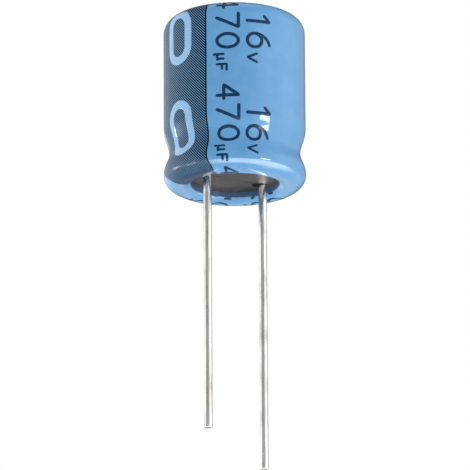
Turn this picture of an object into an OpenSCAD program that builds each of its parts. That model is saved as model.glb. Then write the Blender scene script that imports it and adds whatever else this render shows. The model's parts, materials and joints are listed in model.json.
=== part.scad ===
// Radial aluminium electrolytic capacitor. A wound element sits in a drawn case, which is
// closed by a rubber bung, grooved and curled over it, and wrapped in a heat-shrunk film.
// Millimetres, +Z up. The origin lies on the seating plane, midway between the two leads.
// The positive lead is at +X, and the negative lead and its printed band are at -X.

/* [Case] */
// Outside diameter of the drawn case
case_d = 10; // [9.5:0.5:11]
// Height of the case, from its curled rim to its top
case_h = 12.5; // [11:0.5:20]
// Thickness of the case's side wall
case_wall = 0.25; // [0.2:0.05:0.3]
// Thickness of the case's top
case_top = 0.35; // [0.3:0.05:0.45]
// Outside radius of the shoulder round the case's top
shoulder_r = 0.95; // [0.7:0.05:1.1]
// Length of each line of the crossed vent score on the case's top
vent_len = 5.6; // [3:0.2:6.4]
// Width of a score line at the surface
vent_w = 0.36; // [0.2:0.02:0.44]

/* [Groove and curl] */
// Depth of the rolled groove that grips the bung
groove_depth = 0.4; // [0.2:0.05:0.5]
// Height of the groove's floor above the seating plane
groove_z = 2.55; // [2.45:0.05:2.8]
// Height over which the wall runs into the groove from above
groove_up = 1.95; // [1.4:0.05:2.2]
// Height over which the wall runs into the groove from below
groove_down = 1.45; // [1.1:0.05:1.5]
// Height of the curled rim's widest line above the seating plane
curl_h = 0.95; // [0.85:0.05:1]
// Width of the curl from its widest line to its flat underside
curl_out = 1.12; // [0.95:0.01:1.2]
// Width of the flat ring on which the part stands on its board
seat_flat = 0.2; // [0.1:0.05:0.25]
// Width over which the underside rises again to the lip
curl_in = 0.85; // [0.8:0.01:1]

/* [Film] */
// Thickness of the heat-shrunk film
film = 0.15; // [0.1:0.01:0.18]
// Width over which the film is drawn in across the case's top
film_lap = 1.25; // [0.8:0.05:2]
// Width from the flat ring under the curl in to the film's lip round the bung
film_lip = 0.65; // [0.55:0.01:0.7]

/* [Printed band] */
// Angle about Z at which the dark band begins
band_from = 150; // [130:1:155]
// Angle about Z at which the dark band ends
band_to = 210; // [205:1:230]
// Depth of the ink below the film's surface
ink = 0.04; // [0.02:0.01:0.06]
// Angle about Z of the ring-shaped polarity marks' centres
mark_at = 181.5; // [170:0.5:190]
// Width of one ring-shaped polarity mark
mark_w = 2.6; // [2:0.1:3]
// Height of one polarity mark
mark_h = 4.1; // [3.4:0.1:5]
// Width of the mark's stroke
mark_stroke = 0.6; // [0.4:0.05:0.8]
// Height of the lowest mark's centre above the seating plane
mark_z = 3.6; // [2.6:0.1:5]
// Distance from one mark to the next
mark_pitch = 6.9; // [5.4:0.1:8]

/* [Bung] */
// Height of the bung's outer face above the seating plane
bung_face = 0.7; // [0.6:0.05:0.8]
// Height of the bung
bung_h = 3.5; // [3:0.1:4]
// Bevel round the bung's inner face
bung_bevel = 0.2; // [0.1:0.05:0.3]
// Diameter of the mouth through which a lead leaves the bung
mouth_d = 1.1; // [1.05:0.05:1.3]
// Least gap between a lead and its mouth's wall
mouth_gap = 0.02; // [0.01:0.01:0.1]
// Direction about Z in which a mouth lies off its lead
mouth_dir = 144; // [0:1:359]

/* [Leads] */
// Distance between the two leads' centres
lead_pitch = 5; // [4.8:0.1:5]
// Diameter of a lead
lead_d = 0.6; // [0.5:0.05:0.6]
// Reach of the positive lead below the seating plane
anode_reach = 20.7; // [5:0.1:30]
// Reach of the negative lead below the seating plane
cathode_reach = 18.4; // [5:0.1:30]
// Bevel on a lead's cut end
lead_bevel = 0.1; // [0.05:0.01:0.15]
// Depth above the bung's face at which a lead is welded to its tab
weld_depth = 0.8; // [0.6:0.05:0.9]
// Growth of a lead's radius from the seating plane up to its weld
weld_swell = 0.03; // [0.01:0.01:0.05]

/* [Tabs] */
// Diameter of a tab's round stem in the bung
stem_d = 1.4; // [1.2:0.05:1.5]
// Diameter of the weld where a lead meets its stem
weld_d = 0.9; // [0.7:0.05:1]
// Height over which the weld widens to the stem
weld_h = 0.3; // [0.2:0.05:0.5]
// Height of the flattened stretch between the bung and the wound element
tab_neck = 0.55; // [0.4:0.05:0.8]
// Width of a tab's flat blade
blade_w = 1.7; // [1.2:0.1:2]
// Thickness of a tab's flat blade
blade_t = 0.2; // [0.15:0.01:0.25]
// Diameter of a stitch that stakes a blade through its foil
stitch_d = 0.44; // [0.3:0.02:0.6]
// Number of stitches along each blade
stitches = 4; // [2:1:5]

/* [Wound element] */
// Thickness of the etched positive foil
anode_foil_t = 0.12; // [0.1:0.01:0.14]
// Thickness of the etched negative foil
cathode_foil_t = 0.06; // [0.04:0.01:0.08]
// Thickness of each separator paper
paper_t = 0.06; // [0.04:0.01:0.07]
// Thickness of the tape that closes the roll
tape_t = 0.06; // [0.04:0.01:0.08]
// Height of the closing tape
tape_h = 4.6; // [3:0.1:5]
// Smallest radius of the hollow at the roll's centre
mandrel_r = 0.5; // [0.4:0.05:0.7]
// Air between the layers of the roll
layer_gap = 0.01; // [0.005:0.005:0.02]
// Air between the roll and the case, at its side and its top
roll_gap = 0.15; // [0.1:0.05:0.3]
// Height by which each paper stands past the foils at both ends
paper_margin = 0.4; // [0.2:0.05:0.6]

/* [Hidden] */
$fn = 96;

// Steps along each round stretch of the case's outline
arc_steps = 8;
flank_steps = 10;
// Stations on one turn of the roll, where every layer has a corner
stations = 24;
station = 360 / stations;
// Each tab swells the layers outside it over a flat window, and then fades out
swell_flat = 2 * station;
swell_end = 5 * station;
// A cut runs this far past the face that it opens
over = 0.5;

film_r = case_d / 2 + film;
total_h = case_h + 2 * film;
top_r = film_r - film_lap;
lead_r = lead_d / 2;
weld_r = lead_r + weld_swell;
mouth_off = mouth_d / 2 - weld_r - mouth_gap;
stem_r = stem_d / 2;
case_skin = film;
case_lining = film + case_wall;
case_ceiling = total_h - film - case_top;
curl_centre_r = film_r - curl_out;
rise_centre_r = curl_centre_r - seat_flat;
lip_r = rise_centre_r - film_lip;
shoulder_centre_r = film_r - shoulder_r - film;
bung_top = bung_face + bung_h;
weld_z = bung_face + weld_depth;

// Outline of the body, as layers at a depth t below the film's skin
function shoulder_line(t, from) = [
    for (i = [0:arc_steps])
        let (a = from * (1 - i / arc_steps), r = shoulder_r + film - t)
        [shoulder_centre_r + r * cos(a), total_h - shoulder_r - film + r * sin(a)]
];
function dip(s) = groove_depth * (1 + cos(180 * min(1, s))) / 2;
function wall_r(z, t) =
    film_r - t - dip(z > groove_z ? (z - groove_z) / groove_up : (groove_z - z) / groove_down);
function groove_line(t) = concat(
    [
        for (i = [0:flank_steps])
            let (z = groove_z + groove_up * (1 - i / flank_steps))
            [wall_r(z, t), z]
    ],
    [
        for (i = [1:flank_steps])
            let (z = groove_z - groove_down * i / flank_steps)
            [wall_r(z, t), z]
    ]
);
function curl_line(t, sweep) = concat(
    [
        for (i = [0:arc_steps])
            let (a = 90 * i / arc_steps)
            [curl_centre_r + (curl_out - t) * cos(a), curl_h - (curl_h - t) * sin(a)]
    ],
    [
        for (i = [0:arc_steps])
            let (a = 90 + (sweep - 90) * i / arc_steps)
            [rise_centre_r + (curl_in - t) * cos(a), curl_h - (curl_h - t) * sin(a)]
    ]
);
// Angle of the curl at which the layer at depth t has come in to radius r
function sweep_to(t, r) = acos((r - rise_centre_r) / (curl_in - t));
function reversed(line) = [for (i = [len(line) - 1:-1:0]) line[i]];

film_sweep = sweep_to(0, lip_r);
case_sweep = sweep_to(case_skin, lip_r + film);

function body_line(t, sweep, from = 90) =
    concat(shoulder_line(t, from), groove_line(t), curl_line(t, sweep));

// The film begins at its opening over the top, on the flat or part of the way round the shoulder
function film_line(t) =
    top_r < shoulder_centre_r
    ? concat([[top_r, total_h - t]], body_line(t, film_sweep))
    : body_line(t, film_sweep, acos((top_r - shoulder_centre_r) / (shoulder_r + film - t)));

module sleeve() {
    inside = [for (p = body_line(film, case_sweep)) if (p[0] > top_r || p[1] < groove_z) p];
    outline = concat(
        film_line(0),
        [[lip_r, bung_face], [lip_r + film, bung_face]],
        reversed(inside),
        [film_line(film)[0]]
    );
    color("#7ab0df")
    difference() {
        rotate_extrude() polygon(outline);
        printed_field(-over, ink);
    }
}

module polarity_band() {
    color("#33475f") printed_field(0, ink);
}

// The band's ink between two depths, with its ring-shaped marks left open
module printed_field(t_out, t_in) {
    outline = concat(film_line(t_out), reversed(film_line(t_in)));
    difference() {
        rotate(band_from) rotate_extrude(angle = band_to - band_from) polygon(outline);
        for (z = [mark_z:mark_pitch:total_h - shoulder_r])
            translate([0, 0, z]) rotate(mark_at) mark_prism();
    }
}

// One mark, swept out through the film along +X
module mark_prism() {
    rotate([0, 90, 0]) linear_extrude(height = film_r + over) difference() {
        stadium(mark_h, mark_w);
        stadium(mark_h - 2 * mark_stroke, mark_w - 2 * mark_stroke);
    }
}

module stadium(length, width) {
    square([length - width, width], center = true);
    for (side = [-1, 1])
        translate([side * (length - width) / 2, 0]) circle(d = width);
}

module case() {
    lining = [
        for (p = body_line(case_lining, case_sweep))
            [p[0], min(p[1], case_ceiling)]
    ];
    outline = concat(
        [[0, total_h - film]],
        body_line(case_skin, case_sweep),
        reversed(lining),
        [[0, case_ceiling]]
    );
    color("#c3c6c9")
    difference() {
        rotate_extrude() polygon(outline);
        for (a = [0, 90])
            rotate(a) vent_score();
    }
}

// A coined line of V section across the case's top
module vent_score() {
    translate([0, 0, total_h - film])
        rotate([45, 0, 0])
            cube([vent_len, vent_w / sqrt(2), vent_w / sqrt(2)], center = true);
}

module bung() {
    lining = concat(groove_line(case_lining), curl_line(case_lining, case_sweep));
    side = [for (p = lining) if (p[1] < bung_top - bung_bevel) p];
    outline = concat(
        [[0, bung_face], [lip_r + film, bung_face]],
        reversed(side),
        [[side[0][0] - bung_bevel, bung_top], [0, bung_top]]
    );
    color("#565354")
    difference() {
        rotate_extrude() polygon(outline);
        for (side = [-1, 1])
            translate([side * lead_pitch / 2, 0, 0]) lead_hole();
    }
}

// The hole for one tab and its lead: tight round the stem, and open round the wire
module lead_hole() {
    translate([0, 0, weld_z]) cylinder(h = bung_h, r = stem_r);
    rotate(mouth_dir) translate([mouth_off, 0, 0]) cylinder(h = weld_z, d = mouth_d);
}

// A lead: straight below the seating plane, and swelling above it towards its weld
module wire(side, reach) {
    color("#c9c7c2")
    translate([side * lead_pitch / 2, 0, -reach])
        rotate_extrude()
            polygon([
                [0, 0],
                [lead_r - lead_bevel, 0],
                [lead_r, lead_bevel],
                [lead_r, reach],
                [weld_r, reach + weld_z],
                [0, reach + weld_z]
            ]);
}

// The roll: four layers, each a ribbon on one spiral, from the positive foil outwards, and its tape
layer_t = [anode_foil_t, paper_t, cathode_foil_t, paper_t, tape_t];
anode_k = 0;
inner_k = 1;
cathode_k = 2;
outer_k = 3;
tape_k = 4;
function layer_start(k) = k == 0 ? 0 : layer_start(k - 1) + layer_t[k - 1] + layer_gap;
turn_pitch = layer_start(tape_k);
// The positive tab lies on a whole turn at +X, and the negative tab half a turn before it
blade_r = lead_pitch / 2 - blade_t / 2;
tab_turn = floor((blade_r - anode_foil_t - mandrel_r) / turn_pitch);
core_r = blade_r - anode_foil_t - tab_turn * turn_pitch;
anode_at = 360 * tab_turn;
cathode_at = anode_at - 180;
roll_r = case_d / 2 - case_wall - roll_gap;
room = roll_r - core_r - turn_pitch - blade_t - 2 * layer_gap - tape_t;
roll_end = station * floor(stations * room / turn_pitch);
roll_top = case_ceiling - roll_gap;
roll_bottom = bung_top + tab_neck;
roll_h = roll_top - roll_bottom;

// How far a tab lifts the layers that lie outside it, at an angle from the tab
function fade(a) = a < swell_flat ? 1 : a > swell_end ? 0
    : (1 + cos(180 * (a - swell_flat) / (swell_end - swell_flat))) / 2;
function from_tab(a) = abs(((a + 180) % 360 + 360) % 360 - 180);
function lift(at, k, tab_at, tab_k) =
    at - tab_at > (k > tab_k ? -180 : 180) ? (blade_t + layer_gap) * fade(from_tab(at - tab_at)) : 0;
function spiral_r(at, k) = core_r + turn_pitch * at / 360 + layer_start(k)
    + lift(at, k, anode_at, anode_k) + lift(at, k, cathode_at, cathode_k);
function polar(r, a) = [r * cos(a), r * sin(a)];

// A ribbon from radius in_r(angle) with thickness t, between two angles on stations
function ribbon(radii, angles, t) = concat(
    [for (i = [0:len(angles) - 1]) polar(radii[i] + t, angles[i])],
    reversed([for (i = [0:len(angles) - 1]) polar(radii[i], angles[i])])
);
function layer_outline(k, from, to) =
    let (angles = [for (a = [from:station:to]) a])
    ribbon([for (a = angles) spiral_r(a, k)], angles, layer_t[k]);

module layer(k, from, to, height) {
    translate([0, 0, (roll_bottom + roll_top - height) / 2])
        linear_extrude(height = height)
            polygon(layer_outline(k, from, to));
}

// The neck's thin edges, and the bow of a blade of this width on its turn of the roll
neck_edge = 0.05;
blade_bow = blade_r - sqrt(blade_r * blade_r - blade_w * blade_w / 4) + turn_pitch / 4;
// A blade stops short of the foil's far edge
stitch_edge = 0.6;
blade_h = blade_t + roll_h - paper_margin - stitch_edge;

// The foils begin and end inside the papers
foil_h = roll_h - 2 * paper_margin;
foil_lead_in = 12 * station;
module anode_layer() {
    layer(anode_k, foil_lead_in + 6 * station, roll_end - foil_lead_in - 6 * station, foil_h);
}
module cathode_layer() {
    layer(cathode_k, foil_lead_in, roll_end - foil_lead_in, foil_h);
}

module anode_foil() {
    color("#9b9c9c")
    difference() {
        anode_layer();
        stitch_pins(anode_at, anode_k);
    }
}

module cathode_foil() {
    color("#b4b5b5")
    difference() {
        cathode_layer();
        stitch_pins(cathode_at, cathode_k);
    }
}

module inner_paper() {
    color("#d9cfae") layer(inner_k, 0, roll_end, roll_h);
}

module outer_paper() {
    color("#d2c7a3") layer(outer_k, 0, roll_end, roll_h);
}

// The tape holds the roll's last edge and steps down past it onto the turn below
tape_back = 11 * station;
tape_on = 11 * station;
step_run = 3 * station;
function tape_r(a) =
    let (past = max(0, a - roll_end))
    spiral_r(a, tape_k) - turn_pitch * min(1, past / step_run);

module closing_tape() {
    angles = [for (a = [roll_end - tape_back:station:roll_end + tape_on]) a];
    color("#c8b878")
    translate([0, 0, (roll_bottom + roll_top - tape_h) / 2])
        linear_extrude(height = tape_h)
            polygon(ribbon([for (a = angles) tape_r(a)], angles, tape_t));
}

// A tab: weld, round stem, flattened neck, and a blade that is staked to its foil
module tab(side, tab_at, k) {
    foil_face = spiral_r(tab_at, k) + layer_t[k];
    shoulder_z = roll_bottom - blade_t;
    translate([side * lead_pitch / 2, 0, weld_z]) {
        cylinder(h = weld_h, d1 = weld_d, d2 = stem_d);
        translate([0, 0, weld_h]) cylinder(h = bung_top - weld_z - weld_h, r = stem_r);
    }
    hull() {
        translate([side * lead_pitch / 2, 0, bung_top])
            cylinder(h = neck_edge, r = stem_r - neck_edge, $fn = 32);
        translate([side * (foil_face - blade_bow), 0, shoulder_z - neck_edge])
            rotate(side > 0 ? 0 : 180)
                translate([-neck_edge, -blade_w / 2 - neck_edge, 0])
                    cube([blade_t + blade_bow + 2 * neck_edge, blade_w + 2 * neck_edge, neck_edge]);
    }
    translate([0, 0, shoulder_z]) blade(tab_at, k, layer_t[k], blade_t, blade_h);
    intersection() {
        translate([0, 0, shoulder_z]) blade(tab_at, k, 0, layer_t[k] + blade_t / 2, blade_h);
        stitch_pins(tab_at, k);
    }
}

// A length of the blade, curved as its foil is at the tab, from a depth over the foil's inner face
module blade(tab_at, k, depth, thickness, height) {
    angles = [for (i = [-2:2]) tab_at + i * station];
    radii = [for (a = angles) spiral_r(a, k) + depth];
    linear_extrude(height = height) intersection() {
        polygon(ribbon(radii, angles, thickness));
        square([case_d, blade_w], center = true);
    }
}

// The pins that are staked through one turn of a foil, along the tab's direction
module stitch_pins(tab_at, k) {
    pitch = (foil_h - stitch_edge) / stitches;
    first = roll_bottom + paper_margin + pitch / 2;
    inside = spiral_r(tab_at, k) - turn_pitch / 4;
    for (i = [0:stitches - 1])
        rotate(tab_at)
            translate([inside, 0, first + i * pitch])
                rotate([0, 90, 0])
                    cylinder(h = turn_pitch / 4 + layer_t[k] + blade_t, d = stitch_d);
}

module anode_tab() {
    color("#b9bbbd") tab(1, anode_at, anode_k);
}

module cathode_tab() {
    color("#b9bbbd") tab(-1, cathode_at, cathode_k);
}

module anode_wire() {
    wire(1, anode_reach);
}

module cathode_wire() {
    wire(-1, cathode_reach);
}

sleeve();
polarity_band();
case();
bung();
anode_wire();
cathode_wire();
anode_tab();
cathode_tab();
anode_foil();
cathode_foil();
inner_paper();
outer_paper();
closing_tape();
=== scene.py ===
"""Radial electrolytic capacitor: printed film, rubber bung, tinned leads, wound element, studio."""

import json
import math
from itertools import pairwise

import bmesh
import bpy
from bpy.props import (
    FloatProperty,
    FloatVectorProperty,
    IntProperty,
    PointerProperty,
    StringProperty,
)
from mathutils import Matrix, Vector


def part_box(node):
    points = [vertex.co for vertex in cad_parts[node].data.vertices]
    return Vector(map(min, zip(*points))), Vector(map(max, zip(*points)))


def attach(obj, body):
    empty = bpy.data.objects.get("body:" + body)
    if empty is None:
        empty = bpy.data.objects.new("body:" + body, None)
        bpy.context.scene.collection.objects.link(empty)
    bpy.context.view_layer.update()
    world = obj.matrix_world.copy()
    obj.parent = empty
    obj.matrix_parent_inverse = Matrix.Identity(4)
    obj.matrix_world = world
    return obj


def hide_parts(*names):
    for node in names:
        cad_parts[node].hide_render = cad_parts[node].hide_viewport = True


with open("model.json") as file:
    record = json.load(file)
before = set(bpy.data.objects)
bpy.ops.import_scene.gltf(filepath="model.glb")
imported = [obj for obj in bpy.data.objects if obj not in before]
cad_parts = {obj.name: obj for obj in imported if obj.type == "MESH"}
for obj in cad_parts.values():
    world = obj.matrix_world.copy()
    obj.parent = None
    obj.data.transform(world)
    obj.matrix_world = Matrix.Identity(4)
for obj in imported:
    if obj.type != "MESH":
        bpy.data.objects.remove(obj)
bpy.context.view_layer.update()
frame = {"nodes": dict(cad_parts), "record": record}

bl_info = {
    "name": "Electrolytic Capacitor",
    "version": (1, 0, 0),
    "blender": (4, 5, 0),
    "location": "View3D > Sidebar > Capacitor",
    "description": "Dresses a packed radial capacitor with film, print, rubber, metal and a studio",
    "category": "Object",
}

MM = 0.001
BODY = "root"
FILM_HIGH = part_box("sleeve")[1]
CASE_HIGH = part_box("case")[1]
BUNG_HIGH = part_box("bung")[1]
MOUNTS = {mount["name"]: mount for mount in frame["record"]["mounts"]}


def srgb(red, green, blue):
    """A display colour, 0 to 255 a channel, as the linear colour that materials take."""

    def linear(channel):
        share = channel / 255
        return share / 12.92 if share <= 0.04045 else ((share + 0.055) / 1.055) ** 2.4

    return tuple(linear(channel) for channel in (red, green, blue))


def amount(name, description, value, **kind):
    return FloatProperty(name=name, description=description, default=value, **kind)


def length(name, description, millimetres):
    return amount(name, description, millimetres * MM, unit="LENGTH", precision=6)


def angle(name, description, degrees):
    return amount(name, description, math.radians(degrees), subtype="ANGLE")


def spread(name, description, wide, high):
    size = (wide * MM, high * MM)
    return FloatVectorProperty(
        name=name, description=description, default=size, size=2, unit="LENGTH", precision=4
    )


def colour(name, description, red, green, blue):
    default = srgb(red, green, blue)
    return FloatVectorProperty(
        name=name, description=description, default=default, subtype="COLOR", min=0.0, max=1.0
    )


class CapacitorBody(bpy.types.PropertyGroup):
    """Sizes of the body's outline, taken from the frame where it shows them."""

    radius: length("Film radius", "Outside radius of the film on the wall", FILM_HIGH.x / MM)
    height: length("Height", "Height of the film over the seating plane", FILM_HIGH.z / MM)
    film: length("Film", "Thickness of the film", (FILM_HIGH.z - CASE_HIGH.z) / MM)
    wall: length("Case wall", "Thickness of the case under the film", 0.25)
    lap: length("Lap", "Width of the film that lies over the case's top", 1.25)
    shoulder: length("Shoulder", "Radius of the film's shoulder", 1.1)
    groove_depth: length("Groove depth", "Depth of the rolled groove", 0.4)
    groove_z: length("Groove height", "Height of the groove's floor", 2.55)
    groove_up: length("Groove above", "Height over which the wall runs in from above", 1.95)
    groove_down: length("Groove below", "Height over which the wall runs in from below", 1.45)
    curl_h: length("Curl height", "Height of the curl's widest line", 0.95)
    curl_out: length("Curl width", "Width from the widest line to the flat underside", 1.12)
    seat_flat: length("Seat", "Width of the flat ring under the curl", 0.2)
    curl_in: length("Curl rise", "Width over which the underside rises to the lip", 0.85)
    lip: length("Lip", "Width from the flat ring in to the film's lip", 0.65)
    bung_face: length("Bung face", "Height of the bung's outer face", 0.7)
    bung_top: length("Bung top", "Height of the bung's inner face", BUNG_HIGH.z / MM)
    bung_bevel: length("Bung bevel", "Bevel round the bung's inner face", 0.2)
    mouth_radius: length("Mouth", "Radius of the mouth through which a lead leaves", 0.55)
    mouth_gap: length("Mouth gap", "Least gap between a lead and its mouth's wall", 0.02)
    mouth_turn: angle("Mouth turn", "Direction in which a mouth lies off its lead", 144)
    stem_radius: length("Stem", "Radius of the hole round a tab's stem", 0.7)
    weld_z: length("Weld height", "Height at which a lead is welded to its tab", 1.5)
    weld_swell: length("Weld swell", "Growth of a lead's radius up to its weld", 0.03)
    tip_round: length("Tip round", "Radius of the rounding on a lead's cut end", 0.1)
    tip_slant: length("Tip slant", "Rise of a lead's cut end from one side to the other", 0.08)


class CapacitorPrint(bpy.types.PropertyGroup):
    """Sizes and places of what is printed on the film."""

    band_from: angle("Band start", "Angle at which the dark band begins", 150)
    band_to: angle("Band end", "Angle at which the dark band ends", 210)
    swerve_from: angle("Swerve, start", "Turn of the band's start round the curl", 8)
    swerve_to: angle("Swerve, end", "Turn of the band's end round the curl", 3)
    ink: length("Band depth", "Depth of the band's ink below the film's skin", 0.04)
    hatch_across: length("Hatch, across", "Distance across from one line to the next", 0.197)
    hatch_down: length("Hatch, down", "Distance down from one line to the next", 0.201)
    edge: length("Band edge", "Width of the solid line along the band's edges", 0.11)
    mark_at: angle("Mark angle", "Angle of the polarity marks' centres", 181.5)
    mark_z: length("Mark height", "Height of the lowest mark's centre", 3.6)
    mark_pitch: length("Mark pitch", "Distance from one mark to the next", 6.9)
    mark_w: length("Mark width", "Width of a polarity mark", 2.6)
    mark_h: length("Mark length", "Length of a polarity mark", 4.2)
    mark_stroke: length("Mark stroke", "Width of a mark's stroke", 0.66)
    value_text: StringProperty(
        name="Value", description="Any of 0, 1, 4, 6 and 7, then M and F", default="470MF"
    )
    value_at: angle("Value angle", "Angle of the value's row", 227.5)
    value_h: length("Value digits", "Height of the value's digits", 1.57)
    value_z: length("Value start", "Height at which one value starts", 6.25)
    volts_text: StringProperty(
        name="Voltage", description="Any of 0, 1, 4, 6 and 7, then V", default="16V"
    )
    volts_at: angle("Voltage angle", "Angle of the voltage's row", 253)
    volts_h: length("Voltage digits", "Height of the voltage's digits", 1.72)
    volts_z: length("Voltage start", "Height at which one voltage starts", 4.78)
    digit_w: length("Digit width", "Width of one digit", 1.04)
    digit_step: length("Digit step", "Distance from one digit to the next", 1.54)
    unit_h: length("Unit height", "Height of a unit's letters", 0.7)
    unit_step: length("Unit step", "Distance from one unit letter to the next", 0.76)
    row_pitch: length("Row pitch", "Distance at which each row repeats", 6.95)
    gather_z: length("Gather height", "Height below which the film is gathered up", 0.4)
    gather: length("Gather", "Length by which the print is gathered under the curl", 0.6)
    back_turn: angle("Back turn", "Turn from the front rows to the first ones on the back", 140)
    back_step: angle("Back step", "Turn from there to the next ones", 62)
    back_rows: IntProperty(name="Back rows", description="Pairs of rows on the back", default=2)
    back_lift: length("Back lift", "Height of the back's rows over the front's", 3.1)
    digit_stroke: length("Digit stroke", "Width of the digits' strokes", 0.25)
    unit_stroke: length("Unit stroke", "Width of the unit letters' strokes", 0.19)
    relief: length("Relief", "Height of printed strokes over the film", 0.006)


class CapacitorFinish(bpy.types.PropertyGroup):
    """Colours of the materials."""

    film: colour("Film", "Blue of the film", 86, 143, 189)
    film_pale: colour("Film, pale", "Blue of the film where it is stretched", 92, 147, 193)
    # The lip colour is painted shade: the dark navy of the shadowed recess between the film's lip
    # and the bung
    lip: colour("Lip", "Cut edge of the film round the bung", 58, 88, 124)
    hatch_light: colour("Hatch, light", "Lines left open in the band's hatch", 88, 140, 184)
    hatch_dark: colour("Hatch, dark", "Printed lines of the band's hatch", 4, 14, 28)
    band_low: colour("Band, low", "The band where it turns under the curl", 16, 48, 84)
    ink: colour("Ink", "Ink of the digits", 5, 44, 80)
    mark: colour("Marks", "Paler blue of the polarity marks", 131, 172, 209)
    rubber: colour("Rubber", "Black rubber of the bung", 32, 30, 30)
    rubber_worn: colour("Rubber, dusty", "Paler mottle of the rubber", 62, 53, 49)
    tin: colour("Tin", "Tinned surface of the leads", 216, 215, 211)
    tin_dull: colour("Tin, dull", "Dull streaks of the leads", 158, 154, 148)
    case: colour("Case", "Drawn aluminium", 205, 208, 211)
    case_dull: colour("Case, dull", "Dull lines of the drawn aluminium", 168, 172, 176)
    tab: colour("Tab", "Pressed aluminium of the tabs", 196, 198, 200)
    anode: colour("Anode foil", "Etched and oxidised foil", 128, 130, 131)
    cathode: colour("Cathode foil", "Etched foil", 158, 159, 160)
    paper: colour("Paper", "Separator soaked in electrolyte", 205, 190, 152)
    tape: colour("Tape", "Tape round the roll", 196, 168, 96)
    floor: colour("Floor", "Floor and surroundings", 244, 244, 244)


class CapacitorStudio(bpy.types.PropertyGroup):
    """Camera, floor and lights. Directions are given as seen from the camera."""

    distance: length("Distance", "Distance from the camera to the part's origin", 500)
    azimuth: angle("Azimuth", "Turn of the camera round the part", -37.2)
    elevation: angle("Elevation", "Height of the camera over the horizon", -17.53)
    roll: angle("Roll", "Turn of the camera about its own axis", -0.33)
    image_px: IntProperty(name="Image", description="Width of the square image", default=470)
    scale: amount("Scale", "Pixels of the image to a millimetre at the origin", 13.829)
    origin_x: amount("Origin, across", "Column of the image at which the origin lies", 234.8)
    origin_y: amount("Origin, down", "Row of the image at which the origin lies", 188.14)
    floor_drop: length("Floor", "Distance from the origin down to the floor", 600)
    floor_size: length("Floor size", "Width of the square floor", 6000)
    world: amount("World", "Level of the light from all round", 0.9)
    right_soft: amount("Right soft", "Growth of that light towards the right", 0.4)
    front_level: amount("Front level", "Level of the reflected surroundings in front", 0.5)
    right_gain: amount("Right gain", "Growth of that level towards the right", 1.25)
    left_turn: angle("Left turn", "Direction in which that level grows on the left", -115)
    left_gain: amount("Left gain", "Growth of that level towards the left", 1.1)
    behind_shade: amount("Behind shade", "Share by which the surroundings darken behind", 0.7)
    above_shade: amount("Above shade", "Share by which they darken towards the top", 0.6)
    top_gain: amount("Top gain", "Growth of that level right overhead", 0.85)
    under_gain: amount("Under gain", "Growth of that level below the horizon", 0.6)
    bounce_turn: angle("Bounce turn", "Direction of the light bounced up from below", 32)
    bounce_gain: amount("Bounce gain", "Level of that bounced light in reflections", 9.0)
    lamp_distance: length("Lamp distance", "Distance of each lamp from the part's origin", 300)


LAMPS = {
    "key": (50, -8, 0.27, 90, 46),
    "side": (-76, -19, 0.22, 100, 80),
    "rear": (-108, -4, 0.18, 70, 60),
    "fill": (180, -60, 0.6, 300, 300),
}


def lamp_settings(name, turn, rise, watts, wide, high):
    label = name.capitalize()
    return {
        f"{name}_turn": angle(f"{label} turn", "Direction, to the camera's right", turn),
        f"{name}_rise": angle(f"{label} rise", "Height over the horizon", rise),
        f"{name}_power": amount(f"{label} power", "Power of the lamp in watts", watts),
        f"{name}_size": spread(f"{label} size", "Width and height of the lamp", wide, high),
    }


for lamp_name, lamp_numbers in LAMPS.items():
    CapacitorStudio.__annotations__ |= lamp_settings(lamp_name, *lamp_numbers)


def evenly(start, end, steps):
    """Values from start to end in equal steps, both ends among them."""
    return [start + (end - start) * i / steps for i in range(steps + 1)]


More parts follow.
